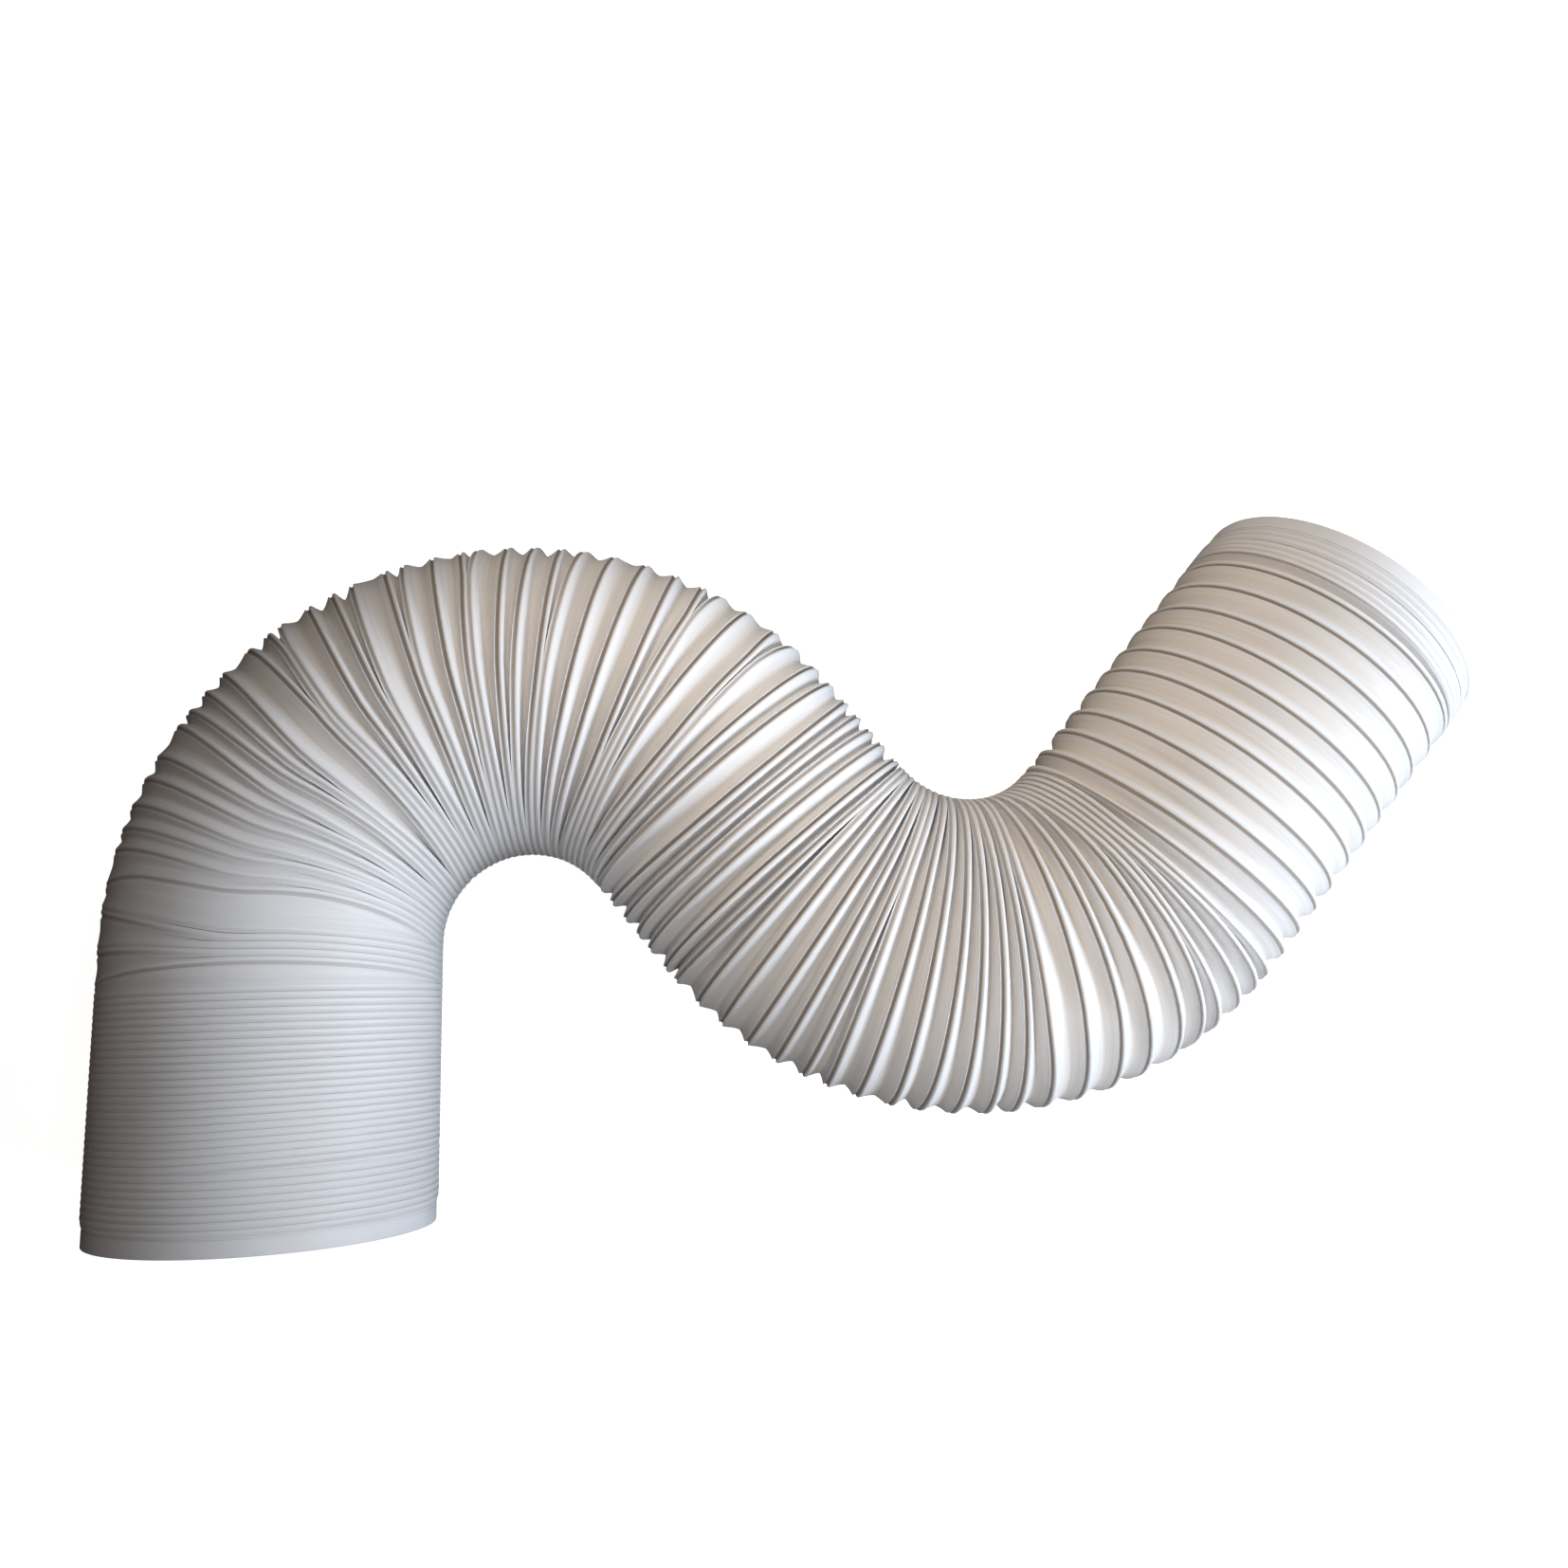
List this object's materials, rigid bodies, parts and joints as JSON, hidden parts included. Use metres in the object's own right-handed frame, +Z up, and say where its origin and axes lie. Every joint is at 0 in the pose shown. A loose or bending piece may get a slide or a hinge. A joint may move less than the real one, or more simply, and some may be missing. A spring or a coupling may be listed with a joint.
{
  "type": "air conditioner exhaust hose",
  "caption": "Spiral-wound corrugated plastic exhaust hose lying in an S, with folds shut along a straight column and inside the bends, and open elsewhere.",
  "frame": {"origin": "centre of the inlet mouth, on the hose's axis", "axes": "-Y out of the inlet mouth, +X towards the outlet, +Z up from the surface that the hose lies on"},
  "size_m": [0.657, 0.3289, 0.15],
  "materials": {
    "film": "satin"
  },
  "bodies": {
    "root": {"hose": "film"}
  },
  "joints": []
}
